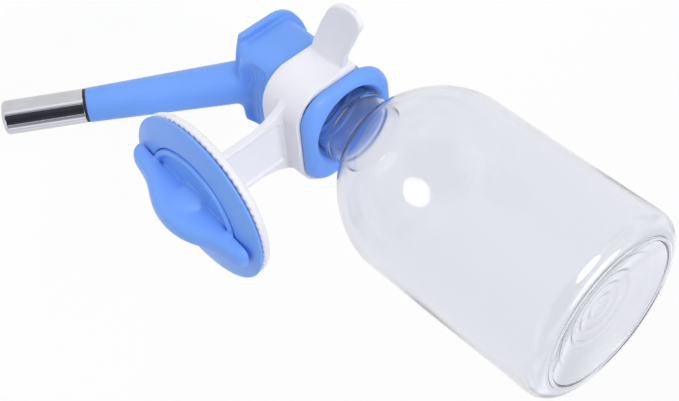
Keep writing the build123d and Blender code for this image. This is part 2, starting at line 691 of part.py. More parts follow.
# ---- clip latch: the clip's free arm with its finger tab ------------------------------
TAB_ROOT_LOW_Z = -10.0
TAB_ROOT_HIGH_Z = 6.2

with BuildPart() as clip_latch:
    with BuildSketch(Plane.XY.offset(CLIP_BOTTOM_Z)):
        with BuildLine():
            Polyline(
                (-CLIP_HALF_WIDTH, LATCH_ROOT_Y + LATCH_SLOT),
                (-CLIP_HALF_WIDTH, CLIP_END_Y),
                (-CLIP_INNER_HALF, CLIP_END_Y),
                (-CLIP_INNER_HALF, LATCH_ROOT_Y + LATCH_SLOT),
                close=True,
            )
        make_face()
    extrude(amount=CLIP_TOP_Z - CLIP_BOTTOM_Z)
    fillet(edges().filter_by(Axis.Z).group_by(Axis.Y)[-1], radius=LATCH_END_SOFTENING)

    # finger tab: a flat tongue that stands out of the arm and leans up the bottle
    with BuildSketch(Plane.XZ.offset(-TAB_Y)):
        with BuildLine():
            Polyline(
                (-CLIP_INNER_HALF - 0.6, TAB_ROOT_HIGH_Z),
                (-CLIP_INNER_HALF - 0.6, TAB_ROOT_LOW_Z),
                (-26.5, -7.8),
                (-38.5, -2.4),
                (-45.4, 1.4),
            )
            ThreePointArc((-45.4, 1.4), (-50.2, 6.0), (TAB_TIP_X, 11.6))
            ThreePointArc((TAB_TIP_X, 11.6), (-50.4, 16.0), (-45.6, 16.8))
            Polyline((-45.6, 16.8), (-29.1, 8.8), (-CLIP_INNER_HALF - 0.6, TAB_ROOT_HIGH_Z))
        make_face()
    extrude(amount=-TAB_THICKNESS)

clip_latch.part.label = "clip_latch"
export_step(clip_latch.part, "parts/clip_latch.step")

# ---- clamp stud: threaded post pressed into the flange -------------------------------
STUD_THREAD_TURNS = 3.0
STUD_THREAD_BASE = 1.5
STUD_THREAD_CREST = 0.7
STUD_THREAD_START_Y = -1.6

with BuildPart() as stud_thread:
    with BuildLine() as stud_helix:
        Helix(
            pitch=CLAMP_LEAD,
            height=CLAMP_LEAD * STUD_THREAD_TURNS,
            radius=STUD_RADIUS,
            center=(0, STUD_THREAD_START_Y, 0),
            direction=(0, -1, 0),
        )
    with BuildSketch(
        Plane(
            origin=stud_helix.line @ 0,
            x_dir=(stud_helix.line @ 0) - Vector(0, STUD_THREAD_START_Y, 0),
            z_dir=stud_helix.line % 0,
        )
    ):
        with BuildLine():
            Polyline(
                (-0.4, -STUD_THREAD_BASE / 2),
                (STUD_CREST_RADIUS - STUD_RADIUS, -STUD_THREAD_CREST / 2),
                (STUD_CREST_RADIUS - STUD_RADIUS, STUD_THREAD_CREST / 2),
                (-0.4, STUD_THREAD_BASE / 2),
                close=True,
            )
        make_face()
    sweep(path=stud_helix.line, is_frenet=True)

with BuildPart() as clamp_stud:
    with BuildSketch(CLAMP_SECTION):
        with BuildLine():
            Polyline(
                (0, STUD_POCKET_DEPTH),
                (STUD_CREST_RADIUS, STUD_POCKET_DEPTH),
                (STUD_CREST_RADIUS, 0),
                (STUD_RADIUS, 0),
                (STUD_RADIUS, STUD_TIP_Y + 0.8),
                (STUD_RADIUS - 0.8, STUD_TIP_Y),
                (0, STUD_TIP_Y),
                close=True,
            )
        make_face()
    revolve(axis=CLAMP_AXIS)
    add(stud_thread.part)

clamp_stud.part.label = "clamp_stud"
export_step(clamp_stud.part, "parts/clamp_stud.step")

# ---- clamp plate: round jaw that the wing nut pulls against the cage wires ------------
PLATE_HOLE_RADIUS = 4.6

with BuildPart() as clamp_plate:
    with BuildSketch(CLAMP_SECTION):
        with BuildLine():
            Polyline(
                (PLATE_HOLE_RADIUS, PLATE_BACK_Y),
                (PLATE_RADIUS - 0.5, PLATE_BACK_Y),
            )
            ThreePointArc(
                (PLATE_RADIUS - 0.5, PLATE_BACK_Y),
                (PLATE_RADIUS, PLATE_BACK_Y - 0.5),
                (PLATE_RADIUS - 0.6, PLATE_RIM_Y),
            )
            ThreePointArc(
                (PLATE_RADIUS - 0.6, PLATE_RIM_Y),
                (27.3, -2.75),
                (RECESS_RADIUS + 0.4, PLATE_STEP_Y),
            )
            Polyline(
                (RECESS_RADIUS + 0.4, PLATE_STEP_Y),
                (RECESS_RADIUS, PLATE_STEP_Y + 0.4),
                (RECESS_RADIUS, PLATE_FLOOR_Y),
                (PLATE_HOLE_RADIUS, PLATE_FLOOR_Y),
                (PLATE_HOLE_RADIUS, PLATE_BACK_Y),
            )
        make_face()
    revolve(axis=CLAMP_AXIS)

clamp_plate.part.label = "clamp_plate"
export_step(clamp_plate.part, "parts/clamp_plate.step")

# ---- wing nut: round nut with a long winged grip ---------------------------------------
NUT_RADIUS = RECESS_RADIUS - RUNNING_GAP
NUT_BACK_Y = PLATE_FLOOR_Y - RUNNING_GAP
NUT_FLOOR_Y = -2.9
NUT_RING_WIDTH = 1.9
NUT_RING_Y = -4.4
WING_UNDERSIDE_Y = PLATE_STEP_Y - 0.45
WING_PEAK_Y = -16.2
WING_SWELL_RADIUS = 8.0
NUT_BORE_RADIUS = STUD_CREST_RADIUS + RUNNING_GAP
NUT_BORE_END_Y = -13.2
wing_up = Plane(
    origin=(0, 0, 0),
    x_dir=(sin(radians(WING_TILT)), 0, cos(radians(WING_TILT))),
    z_dir=(-cos(radians(WING_TILT)), 0, sin(radians(WING_TILT))),
)
# in wing_up local x runs along the wing and local y is the same as Y

nut_thread_start_y = STUD_THREAD_START_Y - CLAMP_LEAD * 1.5

with BuildPart() as nut_thread:
    with BuildLine() as nut_helix:
        Helix(
            pitch=CLAMP_LEAD,
            height=CLAMP_LEAD * 2.0,
            radius=NUT_BORE_RADIUS,
            center=(0, nut_thread_start_y, 0),
            direction=(0, -1, 0),
        )
    with BuildSketch(
        Plane(
            origin=nut_helix.line @ 0,
            x_dir=(nut_helix.line @ 0) - Vector(0, nut_thread_start_y, 0),
            z_dir=nut_helix.line % 0,
        )
    ):
        with BuildLine():
            Polyline(
                (0.4, -0.55),
                (STUD_RADIUS + RUNNING_GAP - NUT_BORE_RADIUS, -0.25),
                (STUD_RADIUS + RUNNING_GAP - NUT_BORE_RADIUS, 0.25),
                (0.4, 0.55),
                close=True,
            )
        make_face()
    sweep(path=nut_helix.line, is_frenet=True)

# wing: a bow-shaped bar across the nut, highest at the middle, rounded along its front
with BuildPart() as wing_bar:
    with BuildSketch(wing_up.offset(-WING_HALF_WIDTH)):
        with BuildLine():
            Polyline(
                (-WING_HALF_LENGTH, WING_END_Y),
                (-WING_HALF_LENGTH, WING_UNDERSIDE_Y),
                (WING_HALF_LENGTH, WING_UNDERSIDE_Y),
                (WING_HALF_LENGTH, WING_END_Y),
            )
            Spline(
                (WING_HALF_LENGTH, WING_END_Y),
                *[(x, y) for x, y in reversed(WING_OUTLINE)],
                (0, WING_PEAK_Y),
                *[(-x, y) for x, y in WING_OUTLINE],
                (-WING_HALF_LENGTH, WING_END_Y),
            )
        make_face()
    extrude(amount=2 * WING_HALF_WIDTH)
    fillet(
        wing_bar.edges().filter_by(lambda edge: edge.center().Y < WING_UNDERSIDE_Y - RUNNING_GAP),
        radius=WING_SOFTENING,
    )

with BuildPart() as wing_nut:
    # round nut with a raised ring near its edge
    with BuildSketch(CLAMP_SECTION):
        with BuildLine():
            Polyline(
                (0, NUT_BACK_Y),
                (NUT_RADIUS, NUT_BACK_Y),
                (NUT_RADIUS, NUT_RING_Y + 0.3),
                (NUT_RADIUS - 0.3, NUT_RING_Y),
                (NUT_RADIUS - NUT_RING_WIDTH, NUT_RING_Y),
                (NUT_RADIUS - NUT_RING_WIDTH - 0.7, NUT_FLOOR_Y),
                (0, NUT_FLOOR_Y),
                close=True,
            )
        make_face()
    revolve(axis=CLAMP_AXIS)
    add(wing_bar.part)
    # swelling in the middle of the wing, round the stud
    with BuildSketch(CLAMP_SECTION):
        with BuildLine():
            Line((0, NUT_FLOOR_Y + 0.2), (WING_SWELL_RADIUS, NUT_FLOOR_Y + 0.2))
            Spline(
                (WING_SWELL_RADIUS, NUT_FLOOR_Y + 0.2),
                (WING_SWELL_RADIUS - 1.2, -8.0),
                (WING_SWELL_RADIUS - 3.6, -13.4),
                (0, WING_PEAK_Y + 0.3),
                tangents=((0.0, -1.0), (-1.0, 0.0)),
            )
            Line((0, WING_PEAK_Y + 0.3), (0, NUT_FLOOR_Y + 0.2))
        make_face()
    revolve(axis=CLAMP_AXIS)
    # ridge that carries the wing on the nut
    with BuildSketch(at_clamp(NUT_FLOOR_Y)):
        with Locations(Rot(0, 0, 90 - WING_TILT)):
            SlotOverall(2 * NUT_RADIUS - 4, 2 * WING_HALF_WIDTH)
    extrude(amount=NUT_FLOOR_Y - WING_UNDERSIDE_Y + 0.2)
    # bore for the stud
    with BuildSketch(at_clamp(NUT_BACK_Y)):
        Circle(NUT_BORE_RADIUS)
    extrude(amount=NUT_BACK_Y - NUT_BORE_END_Y, mode=Mode.SUBTRACT)
    add(nut_thread.part)

wing_nut.part.label = "wing_nut"
export_step(wing_nut.part, "parts/wing_nut.step")
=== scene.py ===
import math

import bmesh
import bpy
import numpy as np
from mathutils import Matrix, Vector
from mathutils import noise as fractal


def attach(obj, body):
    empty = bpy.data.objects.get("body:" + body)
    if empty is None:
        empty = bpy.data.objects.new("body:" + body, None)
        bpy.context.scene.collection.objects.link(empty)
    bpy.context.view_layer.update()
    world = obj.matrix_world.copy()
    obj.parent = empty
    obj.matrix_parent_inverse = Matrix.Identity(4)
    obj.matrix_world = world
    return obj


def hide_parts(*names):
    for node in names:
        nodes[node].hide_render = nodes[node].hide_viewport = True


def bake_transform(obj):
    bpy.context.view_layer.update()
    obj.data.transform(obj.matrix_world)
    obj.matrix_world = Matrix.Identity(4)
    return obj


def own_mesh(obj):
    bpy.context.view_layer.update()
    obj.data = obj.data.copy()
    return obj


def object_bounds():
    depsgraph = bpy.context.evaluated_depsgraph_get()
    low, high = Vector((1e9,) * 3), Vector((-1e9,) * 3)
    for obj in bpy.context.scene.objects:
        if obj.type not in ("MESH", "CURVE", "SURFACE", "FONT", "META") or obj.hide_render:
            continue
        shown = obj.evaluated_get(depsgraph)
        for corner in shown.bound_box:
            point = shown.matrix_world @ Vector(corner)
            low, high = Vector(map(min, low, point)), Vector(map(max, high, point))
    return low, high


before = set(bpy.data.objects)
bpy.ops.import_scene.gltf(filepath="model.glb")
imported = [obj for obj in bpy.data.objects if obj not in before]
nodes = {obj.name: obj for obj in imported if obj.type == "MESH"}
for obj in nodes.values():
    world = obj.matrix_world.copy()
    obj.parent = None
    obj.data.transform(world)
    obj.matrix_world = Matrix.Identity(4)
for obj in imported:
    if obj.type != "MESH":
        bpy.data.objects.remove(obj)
cad_low, cad_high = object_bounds()
scene = bpy.context.scene

MM = 0.001

# ---------------------------------------------------------------- camera
CAMERA_PLACE = Vector((-0.33497, -0.14918, 0.25864))
CAMERA_RIGHT = Vector((0.05906, 0.73164, 0.67913))
CAMERA_UP = Vector((-0.64892, 0.54511, -0.53081))
CAMERA_BACK = CAMERA_RIGHT.cross(CAMERA_UP)
CAMERA_LENS = 69.785

camera_data = bpy.data.cameras.new("camera")
camera_data.lens = CAMERA_LENS
camera_data.sensor_width = 36.0
camera_data.clip_start = 0.01
camera_data.clip_end = 100.0
camera = bpy.data.objects.new("camera", camera_data)
scene.collection.objects.link(camera)
turn = Matrix((CAMERA_RIGHT, CAMERA_UP, CAMERA_BACK)).transposed()
camera.matrix_world = Matrix.Translation(CAMERA_PLACE) @ turn.to_4x4()
scene.camera = camera

scene.view_settings.view_transform = "Standard"
scene.view_settings.look = "None"

# ---------------------------------------------------------------- node helpers


def new_material(name):
    made = bpy.data.materials.new(name)
    made.use_nodes = True
    tree = made.node_tree
    return made, tree, tree.nodes["Principled BSDF"]


def add(tree, kind, **values):
    node = tree.nodes.new(kind)
    for key, value in values.items():
        if hasattr(node, key):
            setattr(node, key, value)
        else:
            node.inputs[key].default_value = value
    return node


def noise(tree, scale, detail=3.0, rough=0.5, stretch=(1, 1, 1)):
    place = add(tree, "ShaderNodeTexCoord")
    shape = add(tree, "ShaderNodeMapping")
    shape.inputs["Scale"].default_value = stretch
    found = add(tree, "ShaderNodeTexNoise")
    found.inputs["Scale"].default_value = scale
    found.inputs["Detail"].default_value = detail
    found.inputs["Roughness"].default_value = rough
    tree.links.new(place.outputs["Object"], shape.inputs["Vector"])
    tree.links.new(shape.outputs["Vector"], found.inputs["Vector"])
    return found


def spread(tree, source, low, high, start=0.3, end=0.7):
    span = add(tree, "ShaderNodeMapRange")
    span.inputs["From Min"].default_value = start
    span.inputs["From Max"].default_value = end
    span.inputs["To Min"].default_value = low
    span.inputs["To Max"].default_value = high
    tree.links.new(source.outputs["Fac"], span.inputs["Value"])
    return span


def two_colours(tree, source, first, second, start=0.35, end=0.65):
    ramp = add(tree, "ShaderNodeValToRGB")
    ramp.color_ramp.elements[0].position = start
    ramp.color_ramp.elements[0].color = (*first, 1)
    ramp.color_ramp.elements[1].position = end
    ramp.color_ramp.elements[1].color = (*second, 1)
    tree.links.new(source.outputs["Fac"], ramp.inputs["Fac"])
    return ramp


def bump(tree, shader, source, strength, distance):
    made = add(tree, "ShaderNodeBump")
    made.inputs["Strength"].default_value = strength
    made.inputs["Distance"].default_value = distance
    tree.links.new(source.outputs["Fac"], made.inputs["Height"])
    tree.links.new(made.outputs["Normal"], shader.inputs["Normal"])
    return made


# ---------------------------------------------------------------- materials


def moulded_plastic(name, colour, deep, rough_low, rough_high):
    """Satin moulded plastic: slight drift in colour, polish that varies and a fine grain."""
    made, tree, shader = new_material(name)
    drift = noise(tree, 38.0, 2.0)
    tint = two_colours(tree, drift, deep, colour, 0.25, 0.6)
    tree.links.new(tint.outputs["Color"], shader.inputs["Base Color"])
    polish = noise(tree, 160.0, 4.0, 0.6)
    shine = spread(tree, polish, rough_low, rough_high)
    tree.links.new(shine.outputs["Result"], shader.inputs["Roughness"])
    grain = noise(tree, 2600.0, 2.0, 0.6)
    bump(tree, shader, grain, 0.12, 0.00004)
    shader.inputs["IOR"].default_value = 1.49
    return made


blue = moulded_plastic("blue_moulded", (0.16, 0.37, 0.93), (0.145, 0.345, 0.90), 0.34, 0.46)
white = moulded_plastic("white_moulded", (0.83, 0.83, 0.88), (0.80, 0.80, 0.86), 0.38, 0.52)


def clear_plastic():
    """Blown clear plastic: glossy, with a slow ripple, and it lets lamp light through."""
    made, tree, shader = new_material("clear_blown")
    drift = noise(tree, 9.0, 2.0, 0.5, (1, 1, 0.25))
    tint = two_colours(tree, drift, (0.845, 0.855, 0.895), (0.90, 0.905, 0.945))
    tree.links.new(tint.outputs["Color"], shader.inputs["Base Color"])
    shader.inputs["Transmission Weight"].default_value = 1.0
    shader.inputs["IOR"].default_value = 1.42
    polish = noise(tree, 70.0, 3.0, 0.55, (1, 1, 0.35))
    shine = spread(tree, polish, 0.03, 0.10)
    tree.links.new(shine.outputs["Result"], shader.inputs["Roughness"])
    ripple = noise(tree, 48.0, 2.0, 0.5, (1, 1, 0.3))
    bump(tree, shader, ripple, 0.20, 0.0005)
    path = add(tree, "ShaderNodeLightPath")
    through = add(tree, "ShaderNodeBsdfTransparent")
    through.inputs["Color"].default_value = (0.84, 0.85, 0.89, 1)
    either = add(tree, "ShaderNodeMixShader")
    tree.links.new(path.outputs["Is Shadow Ray"], either.inputs["Fac"])
    tree.links.new(shader.outputs["BSDF"], either.inputs[1])
    tree.links.new(through.outputs["BSDF"], either.inputs[2])
    tree.links.new(either.outputs["Shader"], tree.nodes["Material Output"].inputs["Surface"])
    return made


clear = clear_plastic()


def metal(name, colour, rough_low, rough_high, scale, stretch, depth):
    """Bare metal, its polish and colour drifting a little together."""
    made, tree, shader = new_material(name)
    shader.inputs["Metallic"].default_value = 1.0
    drift = noise(tree, scale, 3.0, 0.6, stretch)
    tint = two_colours(tree, drift, tuple(c * 0.93 for c in colour), colour)
    tree.links.new(tint.outputs["Color"], shader.inputs["Base Color"])
    shine = spread(tree, drift, rough_low, rough_high)
    tree.links.new(shine.outputs["Result"], shader.inputs["Roughness"])
    bump(tree, shader, drift, 0.10, depth)
    return made


sleeve_steel = metal(
    "polished_sleeve", (0.60, 0.60, 0.63), 0.05, 0.12, 320.0, (1, 0.25, 0.25), 0.00002
)
ball_steel = metal("ball_steel", (0.74, 0.74, 0.76), 0.05, 0.12, 400.0, (1, 1, 1), 0.00001)
spring_steel = metal("spring_wire", (0.60, 0.60, 0.62), 0.22, 0.38, 900.0, (1, 1, 1), 0.00001)


def rubber(name, colour, deep, low, high):
    """Matt rubber with a fine grain."""
    made, tree, shader = new_material(name)
    drift = noise(tree, 220.0, 3.0)
    tint = two_colours(tree, drift, deep, colour)
    tree.links.new(tint.outputs["Color"], shader.inputs["Base Color"])
    shine = spread(tree, drift, low, high)
    tree.links.new(shine.outputs["Result"], shader.inputs["Roughness"])
    grain = noise(tree, 3200.0, 2.0)
    bump(tree, shader, grain, 0.25, 0.00004)
    return made


black_rubber = rubber("black_rubber", (0.012, 0.012, 0.018), (0.007, 0.007, 0.010), 0.5, 0.7)
gasket_rubber = rubber("gasket_rubber", (0.80, 0.80, 0.83), (0.74, 0.74, 0.78), 0.5, 0.7)

# ---------------------------------------------------------------- pieces


def paint(piece, material):
    piece.data.materials.clear()
    piece.data.materials.append(material)
    return piece


def copied(name, *sources):
    """One mesh object that holds copies of several meshes, its split seams closed again."""
    work = bmesh.new()
    for source in sources:
        work.from_mesh(source.data if hasattr(source, "data") else source)
    bmesh.ops.remove_doubles(work, verts=work.verts, dist=0.000002)
    mesh = bpy.data.meshes.new(name)
    work.to_mesh(mesh)
    work.free()
    piece = bpy.data.objects.new(name, mesh)
    scene.collection.objects.link(piece)
    return piece


def smooth(value):
    """Eases from 0 to 1 as the value goes from 0 to 1."""
    value = min(max(value, 0.0), 1.0)
    return value * value * (3 - 2 * value)


FLOW_SHARE = 0.6


def flow_together(piece, low, high, fade, rounds):
    """Melts the edges inside one box, in millimetres, less and less near the box's sides.

    Each round moves a vertex at most FLOW_SHARE of the way to the middle of its neighbours.
    """
    mesh = piece.data
    count = len(mesh.vertices)
    spots = np.empty(count * 3)
    mesh.vertices.foreach_get("co", spots)
    spots = spots.reshape(-1, 3)
    pairs = np.empty(len(mesh.edges) * 2, dtype=np.int64)
    mesh.edges.foreach_get("vertices", pairs)
    pairs = pairs.reshape(-1, 2)
    inside = np.minimum(spots / MM - np.array(low), np.array(high) - spots / MM).min(axis=1)
    weight = np.clip(inside / fade, 0, 1)[:, None] * FLOW_SHARE
    near = weight[pairs[:, 0], 0] + weight[pairs[:, 1], 0] > 0
    pairs = pairs[near]
    for _ in range(rounds):
        total = np.zeros_like(spots)
        number = np.zeros(count)
        for here, there in ((0, 1), (1, 0)):
            for axis in range(3):
                total[:, axis] += np.bincount(
                    pairs[:, here], weights=spots[pairs[:, there], axis], minlength=count
                )
            number += np.bincount(pairs[:, here], minlength=count)
        seen = number > 0
        middle_of = total[seen] / number[seen, None]
        spots[seen] += (middle_of - spots[seen]) * weight[seen]
    mesh.vertices.foreach_set("co", spots.ravel())
    mesh.update()


def rib_front(piece):
    """Raises the fine ribs in the pocket below the clip, side by side along Z."""
    half, low, high = 13.0, -27.5, -13.0
    side_fade, end_fade = 3.0, 2.0
    pitch, height = 2.1, 0.34
    facing_front = -0.6
    for vertex in piece.data.vertices:
        x, z = abs(vertex.co.x / MM), vertex.co.z / MM
        if vertex.normal.y > facing_front or x > half or not low < z < high:
            continue
        fade = smooth((half - x) / side_fade)
        fade *= smooth((z - low) / end_fade)
        fade *= smooth((high - z) / end_fade)
        wave = 0.5 + 0.5 * math.cos(2 * math.pi * z / pitch)
        vertex.co.y -= height * fade * wave * MM
    piece.data.update()


def box_mesh(name, low, high):
    """A closed box between two corners in millimetres, to be joined into another mesh."""
    (x0, y0, z0), (x1, y1, z1) = ([value * MM for value in corner] for corner in (low, high))
    corners = [(x, y, z) for x in (x0, x1) for y in (y0, y1) for z in (z0, z1)]
    faces = [(0, 1, 3, 2), (4, 6, 7, 5), (0, 4, 5, 1), (2, 3, 7, 6), (0, 2, 6, 4), (1, 5, 7, 3)]
    mesh = bpy.data.meshes.new(name)
    mesh.from_pydata(corners, [], faces)
    return mesh


def softened(piece, voxel, rounds):
    """Rebuilds the mesh on an even grid, in millimetres, and rounds its edges as moulding does."""
    grid = piece.modifiers.new("grid", "REMESH")
    grid.mode = "VOXEL"
    grid.voxel_size = voxel * MM
    ease = piece.modifiers.new("ease", "SMOOTH")
    ease.factor = 0.5
    ease.iterations = rounds
    shapes = bpy.context.evaluated_depsgraph_get()
    shapes.update()
    finished = bpy.data.meshes.new_from_object(piece.evaluated_get(shapes))
    piece.modifiers.clear()
    piece.data = finished
    for face in finished.polygons:
        face.use_smooth = True
    return piece


# the walls of the head's front pocket run into its floor without a corner
POCKET_LOW, POCKET_HIGH = (-21.0, 38.0, -33.2), (21.0, 49.5, -11.5)
head_shell = softened(copied("head_shell", nodes["head_housing"]), 0.40, 6)
flow_together(head_shell, POCKET_LOW, POCKET_HIGH, fade=3.0, rounds=60)
rib_front(head_shell)
paint(head_shell, blue)
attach(head_shell, "head")
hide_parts("head_housing")

# everything in front of the nut's ring is one soft form
WING_LOW, WING_HIGH = (-24.0, -20.0, -34.0), (24.0, -4.4, 34.0)
grip = softened(copied("wing_grip", nodes["wing_nut"]), 0.35, 5)
flow_together(grip, WING_LOW, WING_HIGH, fade=1.5, rounds=45)
paint(grip, blue)
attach(grip, "wing")
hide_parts("wing_nut")

jaw = softened(copied("clamp_jaw", nodes["clamp_plate"]), 0.30, 4)
paint(jaw, blue)
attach(jaw, "plate")
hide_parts("clamp_plate")

# the clip's free arm is one moulding with the bracket: a web of plastic closes the hinge line
hinge_web = box_mesh("hinge_web", (-22.0, 49.9, -10.4), (-19.0, 50.9, 7.75))
FLANGE_LOW, FLANGE_HIGH = (-36.0, -3.0, -36.0), (36.0, 3.2, 36.0)
moulding = softened(
    copied("white_moulding", nodes["bracket"], nodes["clip_latch"], hinge_web), 0.34, 10
)
flow_together(moulding, FLANGE_LOW, FLANGE_HIGH, fade=1.5, rounds=8)
paint(moulding, white)
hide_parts("bracket", "clip_latch")
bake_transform(moulding)

# ---------------------------------------------------------------- bottle, in millimetres

BOTTLE_Y = 58.7
BOTTLE_RADIUS = 35.0
BASE_Z = 129.1
HEEL = 6.5
RING_RADIUS = 28.2
RING_HALF_WIDTH = 1.0
RING_HEIGHT = 0.25
BASE_DISH = 4.5
# radius and height of the faint rings in the sunken base
MOULD_RINGS = ((4.5, 0.10), (9.0, 0.13), (13.6, 0.16), (21.0, 0.08))
MOULD_RING_HALF_WIDTH = 0.8
SHOULDER_Z = 52.9
SHOULDER_HEIGHT = 31.4
SHOULDER_POWER = 1.71
SHOULDER_FOOT = 7.8
SHOULDER_SWEEP = math.radians(66.0)
NECK_RADIUS = 13.7
NECK_BEAD = 0.55
THREAD_ROOT = 12.5
THREAD_LEAD = 3.18
THREAD_START = -8.6
THREAD_TURNS = 2.0
THREAD_FOOT_HALF_WIDTH = 0.95
THREAD_FLANK = 0.55
THREAD_RUN_OUT = 0.12
THREAD_TOP_Z = 6.0
LIP_Z = -12.0
WALL = 0.5
# the blown wall draws in by up to UNEVENNESS, in soft patches about PATCH_LENGTH long
BODY_START_Z = 16.0
UNEVENNESS = 0.26
PATCH_LENGTH = 38.0
PATCHES_ROUND = 1.4
BOTTLE_TURNS = 180


def outside_profile(detail):
    """The bottle's outside, from the middle of its base to its neck, as radius and height."""
    line = []
    dish_edge = RING_RADIUS - RING_HALF_WIDTH
    for i in range(61):
        radius = dish_edge * i / 60
        sunk = RING_HEIGHT + BASE_DISH * (1 - (radius / dish_edge) ** 2.4)
        if detail:
            for ring, size in MOULD_RINGS:
                sunk -= size * math.exp(-(((radius - ring) / MOULD_RING_HALF_WIDTH) ** 2))
        line.append((radius, BASE_Z - sunk))
    bead = RING_HEIGHT if detail else 0.0
    for i in range(1, 15):
        radius = dish_edge + 2 * RING_HALF_WIDTH * i / 15
        rise = math.cos((radius - RING_RADIUS) / RING_HALF_WIDTH * math.pi / 2) ** 2
        line.append((radius, BASE_Z - RING_HEIGHT + bead * rise))
    heel_r = RING_RADIUS + RING_HALF_WIDTH
    heel_z = BASE_Z - RING_HEIGHT - HEEL
    for i in range(41):
        angle = math.pi / 2 * (1 - i / 40)
        radius = heel_r + (BOTTLE_RADIUS - heel_r) * math.cos(angle)
        line.append((radius, heel_z + HEEL * math.sin(angle)))
    for i in range(1, 60):
        line.append((BOTTLE_RADIUS, heel_z + (SHOULDER_Z - heel_z) * i / 60))
    width = BOTTLE_RADIUS - SHOULDER_FOOT
    for i in range(61):
        angle = SHOULDER_SWEEP * i / 60
        radius = SHOULDER_FOOT + width * math.cos(angle) ** (2 / SHOULDER_POWER)
        drop = SHOULDER_HEIGHT * math.sin(angle) ** (2 / SHOULDER_POWER)
        line.append((radius, SHOULDER_Z - drop))
    return line


def eased(line, rounds):
    """Rounds the corners of an outline and keeps its two ends."""
    for _ in range(rounds):
        between = [
            tuple((a[k] + 2 * b[k] + c[k]) / 4 for k in (0, 1))
            for a, b, c in zip(line, line[1:], line[2:])
        ]
        line = [line[0], *between, line[-1]]
    return line


def divided(line, step):
    """Adds points to an outline so that none are further apart than step."""
    done = [line[0]]
    for (r0, z0), (r1, z1) in zip(line, line[1:]):
        parts = max(1, math.ceil(math.hypot(r1 - r0, z1 - z0) / step))
        for i in range(1, parts + 1):
            done.append((r0 + (r1 - r0) * i / parts, z0 + (z1 - z0) * i / parts))
    return done


def inset(line, wall):
    """The outline one wall inside another, square to it at every point."""
    done = []
    befores = [(-1.0, line[0][1])] + line
    afters = line[1:] + [line[-1]]
    for before, here, after in zip(befores, line, afters):
        run, rise = after[0] - before[0], after[1] - before[1]
        length = math.hypot(run, rise) or 1.0
        done.append((max(0.0, here[0] + wall * rise / length), here[1] - wall * run / length))
    return done


def thread_height(angle, z):
    """How far the thread stands out of the neck at an angle and a height."""
    best = 0.0
    for turn in range(-1, 3):
        along = turn + angle / (2 * math.pi)
        if not 0.0 <= along <= THREAD_TURNS:
            continue
        centre = THREAD_START + THREAD_LEAD * along
        ends = smooth(along / THREAD_RUN_OUT) * smooth((THREAD_TURNS - along) / THREAD_RUN_OUT)
        flank = (THREAD_FOOT_HALF_WIDTH - abs(z - centre)) / THREAD_FLANK
        best = max(best, ends * smooth(flank))
    return best * (NECK_RADIUS - THREAD_ROOT)


def neck_profile(foot_z):
    """The neck's outside below the shoulder: a plain band, one bead, then the thread's root."""
    return [
        (NECK_RADIUS + 0.1, foot_z - 2.2),
        (NECK_RADIUS, foot_z - 3.2),
        (NECK_RADIUS, 15.4),
        (NECK_RADIUS + NECK_BEAD, 14.6),
        (NECK_RADIUS + NECK_BEAD, 14.0),
        (NECK_RADIUS, 13.2),
        (NECK_RADIUS, 6.2),
        (THREAD_ROOT, 4.8),
        (THREAD_ROOT, LIP_Z + 0.3),
        (THREAD_ROOT - 0.3, LIP_Z),
    ]


def bore_profile(foot_z):
    """The neck's inside, from the shoulder to the lip."""
    return [
        (12.9, foot_z - 2.2),
        (12.9, 9.0),
        (11.7, 5.0),
        (11.6, LIP_Z + 0.3),
        (11.8, LIP_Z),
    ]


def waver(angle, z, is_outside):
    """How far the blown wall draws in at an angle and a height; nothing near the body's ends."""
    across, over = math.cos(angle) * PATCHES_ROUND, math.sin(angle) * PATCHES_ROUND
    spot = Vector((across, over, z / PATCH_LENGTH))
    if not is_outside:
        spot = spot * 1.3 + Vector((5.0, 3.0, 1.0))
    ends = smooth((z - BODY_START_Z) / 20.0) * smooth((BASE_Z - HEEL - z) / 12.0)
    return UNEVENNESS * ends * (0.5 + 0.5 * fractal.noise(spot))


def blown_bottle():
    """One closed wall turned round the bottle's axis, uneven as a blown wall is."""
    outside = outside_profile(True)
    neck = [outside[-1]] + neck_profile(outside[-1][1])
    outside = outside[:-1] + eased(divided(neck, 0.22), 5)
    inside = inset(outside_profile(False), WALL)
    bore = [inside[-1]] + bore_profile(inside[-1][1])
    inside = inside[:-1] + eased(divided(bore, 0.5), 6)
    work = bmesh.new()
    rings = []
    for number, (radius, z) in enumerate(outside + inside[::-1]):
        is_outside = number < len(outside)
        if radius < 0.02:
            rings.append([work.verts.new((0, BOTTLE_Y * MM, z * MM))])
            continue
        ring = []
        for i in range(BOTTLE_TURNS):
            angle = 2 * math.pi * i / BOTTLE_TURNS
            reach = radius
            if is_outside and z < THREAD_TOP_Z and radius < NECK_RADIUS + 0.01:
                on_root = THREAD_ROOT if radius >= THREAD_ROOT - 0.01 else 0.0
                reach = max(reach, on_root + thread_height(angle, z))
            elif BODY_START_Z < z < BASE_Z - HEEL:
                reach -= waver(angle, z, is_outside)
            x, y = reach * math.cos(angle), BOTTLE_Y + reach * math.sin(angle)
            ring.append(work.verts.new((x * MM, y * MM, z * MM)))
        rings.append(ring)
    for one, two in zip(rings, rings[1:]):
        for i in range(BOTTLE_TURNS):
            j = (i + 1) % BOTTLE_TURNS
            if len(one) == 1:
                work.faces.new((one[0], two[i], two[j]))
            elif len(two) == 1:
                work.faces.new((one[i], two[0], one[j]))
            else:
                work.faces.new((one[i], two[i], two[j], one[j]))
    bmesh.ops.recalc_face_normals(work, faces=work.faces)
    mesh = bpy.data.meshes.new("bottle_blown")
    work.to_mesh(mesh)
    work.free()
    for face in mesh.polygons:
        face.use_smooth = True
    piece = bpy.data.objects.new("bottle_blown", mesh)
    scene.collection.objects.link(piece)
    return piece


